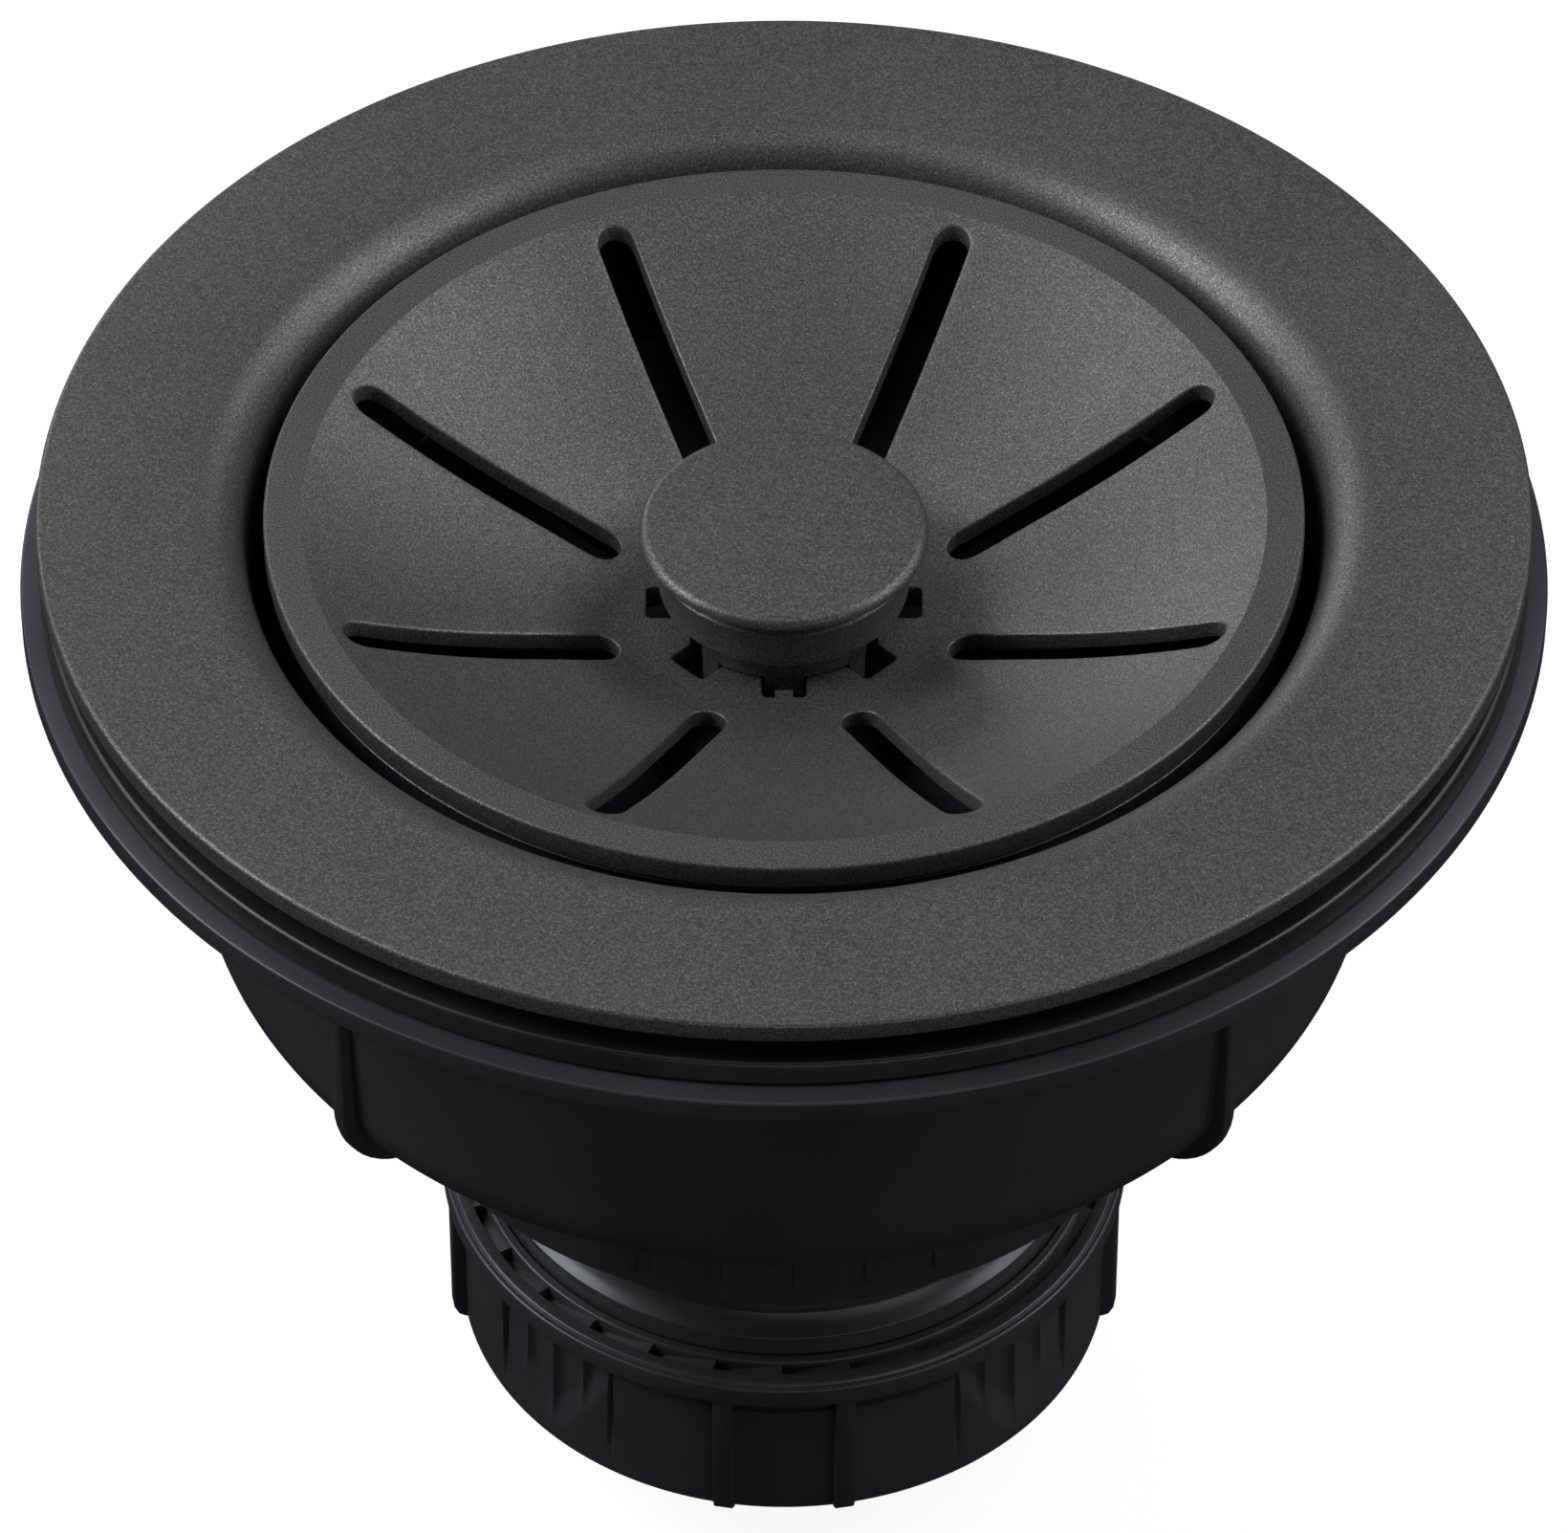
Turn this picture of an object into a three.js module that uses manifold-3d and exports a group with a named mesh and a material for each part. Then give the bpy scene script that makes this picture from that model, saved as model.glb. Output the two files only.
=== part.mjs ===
// Kitchen sink basket-strainer waste, 3 1/2 inch, with a G 1 1/2 slip nut for the trap.
// Millimetres, +Z up. The origin is the middle of the slip nut's bottom face.
// Outlines are lists of [radius, depth], where depth is measured down from the flange's top face.

import * as THREE from 'three';
import { mergeVertices } from 'three/addons/utils/BufferGeometryUtils.js';
import Module from 'manifold-3d';

const wasm = await Module();
wasm.setup();

// ---- driving dimensions ----
const HEIGHT = 86.2; // flange top face above the slip nut's bottom face
const ROUND = 36; // facets round the axis on large pieces
const SMALL_ROUND = 24; // facets round the axis on small pieces
const REST_GAP = 0.15; // between two faces that rest on each other
const FIT_GAP = 0.3; // between a piece and the hole it sits in

const FLANGE_R = 57;
const FLANGE_EDGE = 1.8; // height of the turned-down edge
const SHEET = 1.2; // steel sheet
const BORE_R = 41;
const MOUTH_ROUND = 4.4; // rounding from the flange into the bore
const SEAT_TOP = 22; // depth where the bore turns into the plug's conical seat
const SEAT_BOTTOM = 29;
const SUMP_R = 34;
const SUMP_FLOOR = 35.5;

const GASKET_TOP = 4.3;
const RIM_TOP = 6.4; // top face of the drain body
const RIM_R = 58.5;
const RIM_BOTTOM = 8.75;
const BOWL_R = 46.5;
const BOWL_BOTTOM = 41.3;
const BOWL_ROUND = 6.2;
const BOWL_WALL = 2.2;
const DRUM_R = 32.6;
const DRUM_BORE_R = 29.9;
const DRUM_BOTTOM = 55.4;
const WAIST_R = 22.9; // narrowest place, between the drum's cone and the neck
const WAIST_DEPTH = 66.9;
const COLLAR_R = 24.35; // plain collar above the thread
const COLLAR_TOP = 68.6;
const COLLAR_BOTTOM = 70.8;
const NECK_BOTTOM = 79.6;
const THREAD_R = 23.9; // G 1 1/2 outside thread, 47.8 mm across
const PIPE_BORE_R = 20.6; // takes a 40 mm tail pipe

const NUT_TOP = 70.6;
const NUT_LIP_R = 27.9;
const NUT_LIP_BOTTOM = 72.8;
const NUT_SKIRT_R = 26.6;
const NUT_RIB_R = 27.65;
const NUT_BORE_R = 24.25;
const NUT_FLOOR = 84.4;
const RATCHET_TEETH = 30;
const RATCHET_INNER_R = 25.25;
const RATCHET_OUTER_R = 26.2;
const RATCHET_DEPTH = 1.9;

const PLATE_R = 39.73;
const PLATE_RIM = 1.2; // depth of the strainer plate's flat rim
const PLATE_THICK = 2;
const HUB_DEPTH = 11.4; // depth of the plate's flat middle
const SLOTS = 8;
const SLOT_W = 2.6;
const HUB_HOLE_R = 6.5;
const CUP_R = 38.9;
const CUP_WALL = 1;
const CUP_FLOOR = 16.5;
const CUP_BOTTOM = 23.7;
const KNOB_R = 11.1;
const KNOB_TOP = 3.2;
const STEM_R = 3;
const STEM_TIP_R = 2.4;
const PLUG_TOP = 24.6;
const SEAL_TOP = 26.5;
const SEAL_BOTTOM = 28.5;

const SCREW_R = 2.9; // M6 shank
const SCREW_HEAD_R = 5.2;
const SCREW_HEAD_TOP = 30.9;
const SCREW_HEAD_BOTTOM = 33.3;
const SCREW_END = 53;
const INSERT_R = 5;
const INSERT_TOP = 41;
const INSERT_BOTTOM = 51;

const TURN = 2 * Math.PI;
const radians = (degrees) => (degrees * Math.PI) / 180;
const height = (depth) => HEIGHT - depth;

// ---- solids ----
function toSolid(geometry) {
  geometry.deleteAttribute('normal');
  geometry.deleteAttribute('uv');
  const merged = mergeVertices(geometry, 1e-4);
  const index = merged.index.array;
  const kept = [];
  for (let i = 0; i < index.length; i += 3) {
    const [a, b, c] = [index[i], index[i + 1], index[i + 2]];
    if (a !== b && b !== c && c !== a) kept.push(a, b, c);
  }
  return new wasm.Manifold(new wasm.Mesh({
    numProp: 3,
    vertProperties: Float32Array.from(merged.attributes.position.array),
    triVerts: Uint32Array.from(kept),
  }));
}

function toGeometry(solid) {
  const mesh = solid.getMesh();
  const geometry = new THREE.BufferGeometry();
  geometry.setAttribute('position', new THREE.BufferAttribute(mesh.vertProperties, 3));
  geometry.setIndex(new THREE.BufferAttribute(mesh.triVerts, 1));
  geometry.computeVertexNormals();
  return geometry;
}

const join = (first, ...others) => others.reduce((sum, other) => sum.add(other), first);
const cut = (first, ...others) => others.reduce((rest, other) => rest.subtract(other), first);

// Points of an arc in an outline; angles in degrees, 0 outwards and 90 up.
function arc(radius, depth, size, from, to, steps) {
  return Array.from({ length: steps + 1 }, (_, i) => {
    const angle = radians(from + ((to - from) * i) / steps);
    return [radius + size * Math.cos(angle), depth - size * Math.sin(angle)];
  });
}

// A solid of revolution. The outline ends on the axis at both ends, or is a closed ring.
function turned(outline, facets = ROUND) {
  const onAxis = outline[0][0] === 0;
  const closed = onAxis ? outline : [...outline, outline[0]];
  let area = 0;
  closed.forEach(([r, d], i) => {
    const [nextR, nextD] = closed[(i + 1) % closed.length];
    area += r * height(nextD) - nextR * height(d);
  });
  const points = closed.map(([r, d]) => new THREE.Vector2(r, height(d)));
  if (area < 0) points.reverse();
  const geometry = new THREE.LatheGeometry(points, facets, Math.PI / 2);
  geometry.rotateX(Math.PI / 2);
  return toSolid(geometry);
}

// A flat shape in plan, stood between two depths and turned round the axis.
function prism(shape, top, bottom, degrees = 0) {
  const geometry = new THREE.ExtrudeGeometry(shape, {
    depth: bottom - top, bevelEnabled: false, curveSegments: 4,
  });
  geometry.translate(0, 0, height(bottom));
  geometry.rotateZ(radians(degrees));
  return toSolid(geometry);
}

// A bar along +X before it is turned, from one radius to another.
function bar(fromR, toR, width, top, bottom, degrees) {
  const geometry = new THREE.BoxGeometry(toR - fromR, width, bottom - top);
  geometry.translate((fromR + toR) / 2, 0, height((top + bottom) / 2));
  geometry.rotateZ(radians(degrees));
  return toSolid(geometry);
}

// A radial slot with round ends.
function slot(fromR, toR, width, top, bottom, degrees) {
  const half = width / 2;
  const shape = new THREE.Shape();
  shape.absarc(toR - half, 0, half, -Math.PI / 2, Math.PI / 2, false);
  shape.absarc(fromR + half, 0, half, Math.PI / 2, 1.5 * Math.PI, false);
  return prism(shape, top, bottom, degrees);
}

const around = (count, make, start = 0) =>
  Array.from({ length: count }, (_, i) => make(start + (360 * i) / count));

// ---- sink side ----
function sinkFlange() {
  const roundCentre = BORE_R + MOUTH_ROUND;
  const shell = turned([
    [SCREW_R + 0.5, SUMP_FLOOR],
    [SUMP_R, SUMP_FLOOR],
    [SUMP_R, SEAT_BOTTOM],
    [BORE_R, SEAT_TOP],
    ...arc(roundCentre, MOUTH_ROUND, MOUTH_ROUND, 180, 90, 5),
    [FLANGE_R - 0.4, 0],
    [FLANGE_R, 0.4],
    [FLANGE_R, FLANGE_EDGE],
    [FLANGE_R - 1, FLANGE_EDGE],
    [FLANGE_R - 1, SHEET],
    ...arc(roundCentre, MOUTH_ROUND, MOUTH_ROUND - SHEET, 90, 180, 4),
    [BORE_R + SHEET, SEAT_TOP + 0.5],
    [SUMP_R + SHEET, SEAT_BOTTOM + 0.5],
    [SUMP_R + SHEET, SUMP_FLOOR + SHEET],
    [SCREW_R + 0.5, SUMP_FLOOR + SHEET],
  ]);
  const drains = around(8, (turn) => slot(11, 31, 5, SUMP_FLOOR - 1, SUMP_FLOOR + 2, turn), 22.5);
  return cut(shell, ...drains);
}

function flangeSeal() {
  const top = SHEET + REST_GAP;
  return turned([[47.6, top], [53.4, top], [53.4, 2.2], [47.6, 2.2]]);
}

function bodyGasket() {
  const bottom = RIM_TOP - REST_GAP;
  return turned([
    [44.6, GASKET_TOP], [56.4, GASKET_TOP], [56.6, GASKET_TOP + 0.2],
    [57, bottom], [44.6, bottom],
  ]);
}

// ---- drain body ----
// The bowl down to its floor, open at the top and with a round hole in the floor.
function bowl() {
  const wallFoot = BOWL_R - 0.9;
  const inside = wallFoot - BOWL_WALL;
  const floor = BOWL_BOTTOM - BOWL_WALL;
  const corner = BOWL_ROUND - BOWL_WALL;
  return turned([
    [57.1, RIM_TOP],
    [RIM_R, RIM_TOP + 0.55],
    [RIM_R, RIM_BOTTOM],
    [BOWL_R + 0.8, RIM_BOTTOM + 0.3],
    [BOWL_R, RIM_BOTTOM + 1.1],
    ...arc(wallFoot - BOWL_ROUND, BOWL_BOTTOM - BOWL_ROUND, BOWL_ROUND, 0, -90, 5),
    [DRUM_BORE_R, BOWL_BOTTOM],
    [DRUM_BORE_R, floor],
    ...arc(inside - corner, floor - corner, corner, -90, 0, 4),
    [inside + 0.3, RIM_TOP],
  ]);
}

// One thin rib down the bowl's side and under it, standing in the plane of the axis.
function bowlRib(degrees) {
  const foot = 43.8;
  const outer = 47.3;
  const innerR = DRUM_R + REST_GAP;
  const outline = [
    [innerR, RIM_BOTTOM - 0.5], [outer, RIM_BOTTOM - 0.5],
    ...arc(outer - 9.5, foot - 9.5, 9.5, 0, -90, 4),
    [innerR, foot],
  ];
  const shape = new THREE.Shape(outline.map(([r, d]) => new THREE.Vector2(r, height(d))));
  const geometry = new THREE.ExtrudeGeometry(shape, { depth: 2, bevelEnabled: false });
  geometry.translate(0, 0, -1);
  geometry.rotateX(Math.PI / 2);
  geometry.rotateZ(radians(degrees));
  return toSolid(geometry);
}

function drainBody() {
  const ribs = around(4, bowlRib, 45);
  const room = turned([
    [0, RIM_TOP - 1], [BOWL_R - 2.2, RIM_TOP - 1], [BOWL_R - 2.2, BOWL_BOTTOM - BOWL_ROUND],
    [BOWL_R - BOWL_ROUND, BOWL_BOTTOM - 1], [0, BOWL_BOTTOM - 1],
  ]);
  return join(bowl(), ...ribs.map((rib) => cut(rib, room)));
}

// The drum under the bowl, its cone, and the plain collar and thread of the outlet.
function outletNeck() {
  return turned([
    [DRUM_BORE_R, BOWL_BOTTOM + REST_GAP],
    [DRUM_R, BOWL_BOTTOM + REST_GAP],
    [DRUM_R, DRUM_BOTTOM],
    [DRUM_R - 0.6, DRUM_BOTTOM + 0.3],
    [WAIST_R + 0.3, WAIST_DEPTH - 0.4],
    [WAIST_R, WAIST_DEPTH],
    [COLLAR_R, COLLAR_TOP],
    [COLLAR_R, COLLAR_BOTTOM],
    [THREAD_R, COLLAR_BOTTOM + 0.3],
    [THREAD_R, NECK_BOTTOM - 0.5],
    [THREAD_R - 0.5, NECK_BOTTOM],
    [PIPE_BORE_R + 1.8, NECK_BOTTOM],
    [PIPE_BORE_R, NECK_BOTTOM - 3],
    [PIPE_BORE_R, 65.6],
    [DRUM_BORE_R, DRUM_BOTTOM - 1],
  ]);
}

// Three arms that hold a boss for the threaded insert in the middle of the drum.
function screwSpider() {
  const armR = DRUM_BORE_R - REST_GAP;
  const arms = around(3, (turn) => bar(6, armR, 2.4, 42, 50, turn), 90);
  const bossR = INSERT_R + 2.5;
  const boss = turned([[0, 40.6], [bossR, 40.6], [bossR, 51.5], [0, 51.5]], SMALL_ROUND);
  const boreR = INSERT_R + FIT_GAP;
  const bore = turned([[0, 39], [boreR, 39], [boreR, 53], [0, 53]], SMALL_ROUND);
  return cut(join(boss, ...arms), bore);
}

function threadedInsert() {
  const boreR = SCREW_R + FIT_GAP;
  return turned([
    [boreR, INSERT_TOP], [INSERT_R, INSERT_TOP], [INSERT_R, 44.5], [INSERT_R - 0.6, 45],
    [INSERT_R - 0.6, 47], [INSERT_R, 47.5], [INSERT_R, INSERT_BOTTOM], [boreR, INSERT_BOTTOM],
  ], SMALL_ROUND);
}

// ---- clamp screw ----
function clampScrew() {
  const screw = turned([
    [0, SCREW_HEAD_TOP], [SCREW_HEAD_R - 0.6, SCREW_HEAD_TOP], [SCREW_HEAD_R, SCREW_HEAD_TOP + 0.6],
    [SCREW_HEAD_R, SCREW_HEAD_BOTTOM], [SCREW_R, SCREW_HEAD_BOTTOM],
    [SCREW_R, SCREW_END - 1], [SCREW_R - 0.9, SCREW_END], [0, SCREW_END],
  ], SMALL_ROUND);
  const socket = prism(
    new THREE.Shape(around(6, (turn) => new THREE.Vector2(
      2.9 * Math.cos(radians(turn)), 2.9 * Math.sin(radians(turn)),
    ))),
    SCREW_HEAD_TOP - 1,
    SCREW_HEAD_TOP + 1.5,
  );
  return cut(screw, socket);
}

function ring(innerR, outerR, top, bottom, facets = SMALL_ROUND) {
  return turned([[innerR, top], [outerR, top], [outerR, bottom], [innerR, bottom]], facets);
}

const screwWasher = () => ring(SCREW_R + FIT_GAP, 7.5, SCREW_HEAD_BOTTOM + REST_GAP, 34.25);
const screwSeal = () => ring(SCREW_R + FIT_GAP, 7.8, 34.4, SUMP_FLOOR - REST_GAP);

// ---- slip joint ----
function ratchetTooth(degrees) {
  const half = (Math.PI * RATCHET_INNER_R) / RATCHET_TEETH;
  const low = height(NUT_TOP + RATCHET_DEPTH) - 0.2;
  const shape = new THREE.Shape([
    new THREE.Vector2(-half, low),
    new THREE.Vector2(half * 0.92, low),
    new THREE.Vector2(half * 0.92, height(NUT_TOP)),
    new THREE.Vector2(-half, low + 0.2),
  ]);
  const geometry = new THREE.ExtrudeGeometry(shape, {
    depth: RATCHET_OUTER_R - RATCHET_INNER_R + 0.25, bevelEnabled: false,
  });
  const place = new THREE.Matrix4().makeBasis(
    new THREE.Vector3(0, 1, 0), new THREE.Vector3(0, 0, 1), new THREE.Vector3(1, 0, 0),
  );
  place.setPosition(RATCHET_INNER_R - 0.1, 0, 0);
  geometry.applyMatrix4(place);
  geometry.rotateZ(radians(degrees));
  return toSolid(geometry);
}

// The room that four scallops take out of the nut's side, for the fingers.
function gripFlutes(degrees) {
  const halfAngle = 13.8;
  const flutes = 4;
  const steps = 16;
  const at = (r, turn) => new THREE.Vector2(r * Math.cos(radians(turn)), r * Math.sin(radians(turn)));
  const scallops = Array.from({ length: steps + 1 }, (_, i) => {
    const across = i / steps;
    const r = NUT_SKIRT_R - 0.4 + 0.3 * Math.cos(flutes * TURN * across);
    return at(r, halfAngle * (2 * across - 1));
  });
  const outerR = NUT_SKIRT_R + 1;
  const shape = new THREE.Shape([...scallops, at(outerR, halfAngle), at(outerR, -halfAngle)]);
  return prism(shape, NUT_LIP_BOTTOM + 0.5, 84.2, degrees);
}

function nutRib(degrees) {
  return bar(NUT_SKIRT_R - 1, NUT_RIB_R, 1.65, NUT_LIP_BOTTOM - 0.5, HEIGHT - 0.5, degrees);
}

function slipNut() {
  const turnedNut = turned([
    [NUT_BORE_R + 0.7, NUT_TOP - 0.3],
    [RATCHET_INNER_R, NUT_TOP - 0.3],
    [RATCHET_INNER_R, NUT_TOP + RATCHET_DEPTH],
    [RATCHET_OUTER_R, NUT_TOP + RATCHET_DEPTH],
    [RATCHET_OUTER_R, NUT_TOP],
    [NUT_LIP_R - 0.3, NUT_TOP],
    [NUT_LIP_R, NUT_TOP + 0.3],
    [NUT_LIP_R, NUT_LIP_BOTTOM],
    [NUT_SKIRT_R, NUT_LIP_BOTTOM + 0.4],
    [NUT_SKIRT_R, HEIGHT],
    [PIPE_BORE_R + 0.1, HEIGHT],
    [PIPE_BORE_R + 0.1, NUT_FLOOR],
    [NUT_BORE_R, NUT_FLOOR],
    [NUT_BORE_R, NUT_TOP + 0.8],
    [NUT_BORE_R + 0.7, NUT_TOP + 0.6],
  ]);
  const ribPair = (turn) => [nutRib(turn - 10.3), nutRib(turn + 10.3)];
  return join(
    cut(turnedNut, ...around(4, gripFlutes, 45)),
    ...around(4, ribPair).flat(),
    ...around(RATCHET_TEETH, ratchetTooth, 180 / RATCHET_TEETH),
  );
}

const slipWasher = () => ring(PIPE_BORE_R, THREAD_R - 0.1, 82.9, NUT_FLOOR - REST_GAP, ROUND);

function coneGasket() {
  return turned([
    [20.3, 77.8], [21, 77.8], [22.05, 79.55], [22.05, 79.9], [23.4, 79.9],
    [23.4, 82.75], [20.3, 82.75],
  ]);
}

// ---- strainer basket ----
const DISH = [[36.85, 1.2], [35.9, 1.7], [30, 4.74], [24.6, 7.15], [19.2, 9.2], [14.7, 10.8]];

function strainerPlate() {
  const under = DISH.slice(1).map(([r, d]) => [r - 0.6, d + PLATE_THICK]);
  const plate = turned([
    [HUB_HOLE_R, HUB_DEPTH],
    [11.5, HUB_DEPTH],
    ...[...DISH].reverse(),
    ...arc(PLATE_R - 0.5, PLATE_RIM + 0.5, 0.5, 90, 0, 2),
    [PLATE_R, 3.2],
    [37.3, 3.5],
    ...under,
    [11, HUB_DEPTH + PLATE_THICK],
    [HUB_HOLE_R, HUB_DEPTH + PLATE_THICK],
  ]);
  const slots = around(SLOTS, (turn) => slot(13.8, 35.9, SLOT_W, -1, 18, turn), 22.5);
  const notches = around(SLOTS, (turn) => bar(HUB_HOLE_R - 1, 10.6, 3.4, 9, 16, turn));
  return cut(plate, ...slots, ...notches);
}

function basketCup() {
  const innerR = CUP_R - CUP_WALL;
  const underFloor = CUP_FLOOR + 1.5;
  const cup = turned([
    [HUB_HOLE_R, CUP_FLOOR], [innerR, CUP_FLOOR], [innerR, 3.8], [CUP_R, 3.8],
    [CUP_R, CUP_BOTTOM], [innerR, CUP_BOTTOM], [innerR, underFloor], [HUB_HOLE_R, underFloor],
  ]);
  const drains = around(8, (turn) => slot(12, 35, 4, CUP_FLOOR - 1, underFloor + 1, turn));
  const doors = around(6, (turn) => bar(innerR - 2, CUP_R + 2, 14, 19.5, 25, turn), 30);
  return cut(cup, ...drains, ...doors);
}

function hubCollar() {
  const sleeveR = HUB_HOLE_R - FIT_GAP;
  const boreR = STEM_R + 0.55;
  const collar = turned([
    [boreR, 9.5], [8, 9.5], [8.3, 9.8], [8.3, HUB_DEPTH - REST_GAP],
    [sleeveR, HUB_DEPTH - REST_GAP], [sleeveR, 18.2], [7.3, 18.35], [6, 19.4], [boreR, 19.4],
  ], SMALL_ROUND);
  const leg = (turn) => bar(sleeveR - 0.5, 8.1, 3, HUB_DEPTH - 0.5, HUB_DEPTH + 2.2, turn);
  const splits = around(4, (turn) => bar(2, 9, 1.4, 14.5, 20, turn), 45);
  return cut(join(collar, ...around(SLOTS, leg)), ...splits);
}

function knob() {
  return turned([
    [0, KNOB_TOP],
    ...arc(KNOB_R - 0.8, KNOB_TOP + 0.8, 0.8, 90, 0, 3),
    [KNOB_R - 0.2, 4.35],
    [10.2, 4.6],
    [9.6, 6.6],
    [9.35, 8.6],
    [9, 9.2],
    [STEM_R + FIT_GAP, 9.2],
    [STEM_R + FIT_GAP, 5.3],
    [0, 5.3],
  ], SMALL_ROUND);
}

function knobStem() {
  return turned([
    [0, 5.6], [STEM_R, 5.6], [STEM_R, 16.5], [2.3, 16.5], [2.3, 17.7], [STEM_R, 17.7],
    [STEM_R, PLUG_TOP - FIT_GAP], [STEM_TIP_R, PLUG_TOP - FIT_GAP], [STEM_TIP_R, 28.65],
    [1.9, 28.65], [1.9, 29.55], [STEM_TIP_R, 29.55], [STEM_TIP_R, 30.1], [0, 30.1],
  ], SMALL_ROUND);
}

function stemSeal() {
  return turned(arc(2.84, 17.1, 0.45, 0, 360, 8).slice(0, -1), SMALL_ROUND);
}

function plugCarrier() {
  const holeR = STEM_TIP_R + FIT_GAP;
  return turned([
    [holeR, PLUG_TOP], [8, PLUG_TOP], [8.6, 25.2], [30.4, 25.2], [31, 25.6],
    [31, SEAL_TOP - REST_GAP], [holeR, SEAL_TOP - REST_GAP],
  ]);
}

function plugSeal() {
  const holeR = STEM_TIP_R + FIT_GAP;
  return turned([
    [holeR, SEAL_TOP], [35.7, SEAL_TOP], [35.9, 26.7], [34.2, 28.4], [33.9, SEAL_BOTTOM],
    [holeR, SEAL_BOTTOM],
  ]);
}

function stemClip() {
  const open = bar(1, 6, 2.4, 27, 31, 0);
  return cut(ring(1.9 + FIT_GAP, 4.2, 28.75, 29.4), open);
}

// ---- assembly ----
const coatedSteel = { color: 0x4c4b49, roughness: 0.55, metalness: 0.4 };
const darkSteel = { color: 0x3a3a39, roughness: 0.5, metalness: 0.5 };
const bareSteel = { color: 0xa9abad, roughness: 0.35, metalness: 1 };
const brass = { color: 0xb08d4a, roughness: 0.35, metalness: 1 };
const blackRubber = { color: 0x171513, roughness: 0.8, metalness: 0 };
const darkPlastic = { color: 0x1b1c1f, roughness: 0.5, metalness: 0 };

const group = new THREE.Group();

function add(name, solid, finish) {
  const mesh = new THREE.Mesh(toGeometry(solid), new THREE.MeshStandardMaterial(finish));
  mesh.name = name;
  group.add(mesh);
}

add('sink_flange', sinkFlange(), coatedSteel);
add('flange_seal', flangeSeal(), blackRubber);
add('body_gasket', bodyGasket(), blackRubber);
add('drain_body', drainBody(), darkPlastic);
add('outlet_neck', outletNeck(), darkPlastic);
add('screw_spider', screwSpider(), darkPlastic);
add('threaded_insert', threadedInsert(), brass);
add('clamp_screw', clampScrew(), bareSteel);
add('screw_washer', screwWasher(), bareSteel);
add('screw_seal', screwSeal(), blackRubber);
add('slip_nut', slipNut(), darkPlastic);
add('slip_washer', slipWasher(), darkPlastic);
add('cone_gasket', coneGasket(), blackRubber);
add('strainer_plate', strainerPlate(), coatedSteel);
add('basket_cup', basketCup(), darkPlastic);
add('hub_collar', hubCollar(), darkSteel);
add('knob', knob(), coatedSteel);
add('knob_stem', knobStem(), bareSteel);
add('stem_seal', stemSeal(), blackRubber);
add('plug_carrier', plugCarrier(), darkPlastic);
add('plug_seal', plugSeal(), blackRubber);
add('stem_clip', stemClip(), bareSteel);

export default group;
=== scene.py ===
import math

import bmesh
import bpy
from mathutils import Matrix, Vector
from mathutils.geometry import delaunay_2d_cdt

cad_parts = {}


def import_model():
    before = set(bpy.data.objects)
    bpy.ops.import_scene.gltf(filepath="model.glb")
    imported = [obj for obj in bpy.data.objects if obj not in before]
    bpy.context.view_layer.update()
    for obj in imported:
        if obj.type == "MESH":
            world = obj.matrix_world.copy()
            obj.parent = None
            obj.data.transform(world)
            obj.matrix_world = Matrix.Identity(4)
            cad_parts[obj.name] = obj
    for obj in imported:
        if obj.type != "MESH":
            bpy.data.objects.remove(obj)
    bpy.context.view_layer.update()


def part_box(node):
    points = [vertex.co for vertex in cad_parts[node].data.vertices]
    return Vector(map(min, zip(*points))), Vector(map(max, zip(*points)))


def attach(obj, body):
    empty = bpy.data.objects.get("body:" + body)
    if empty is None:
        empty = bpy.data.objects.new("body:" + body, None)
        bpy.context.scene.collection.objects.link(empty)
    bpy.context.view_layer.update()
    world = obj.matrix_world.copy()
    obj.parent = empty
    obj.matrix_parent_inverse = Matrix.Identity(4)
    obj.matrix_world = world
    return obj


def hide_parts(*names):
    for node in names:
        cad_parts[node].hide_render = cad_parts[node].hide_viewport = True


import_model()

# Outlines are lists of (radius, depth, rounding) in millimetres; depth is measured down from the
# flange's top face, and rounding is the radius of that corner. Meshes are in metres.
MM = 0.001
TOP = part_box("sink_flange")[1][2] / MM


def reach(node):
    """The outer radius of a round CAD node."""
    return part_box(node)[1][0] / MM


def top_of(node):
    """The depth of a CAD node's highest point."""
    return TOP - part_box(node)[1][2] / MM


def foot_of(node):
    """The depth of a CAD node's lowest point."""
    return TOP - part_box(node)[0][2] / MM


FLANGE_R = reach("sink_flange")
RIM_R = reach("drain_body")
PLATE_R = reach("strainer_plate")
NUT_R = reach("slip_nut")
KNOB_R = reach("knob")
GASKET_TOP = top_of("body_gasket")
RIM_TOP = top_of("drain_body")
NECK_FOOT = foot_of("outlet_neck")
NUT_RING = 0.3  # how far the ring inside the nut's ratchet stands above its lip
NUT_TOP = top_of("slip_nut") + NUT_RING
NUT_FOOT = foot_of("slip_nut")
PLATE_TOP = top_of("strainer_plate")
KNOB_TOP = top_of("knob")

FACETS = 256  # sides of a turned piece, unless it says otherwise
SHARP = 32  # degrees between two faces, above which their edge is shaded crisp


# ---- mesh helpers ----
def polar(radius, degrees, depth):
    angle = math.radians(degrees)
    return Vector((radius * math.cos(angle), radius * math.sin(angle), TOP - depth)) * MM


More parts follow.
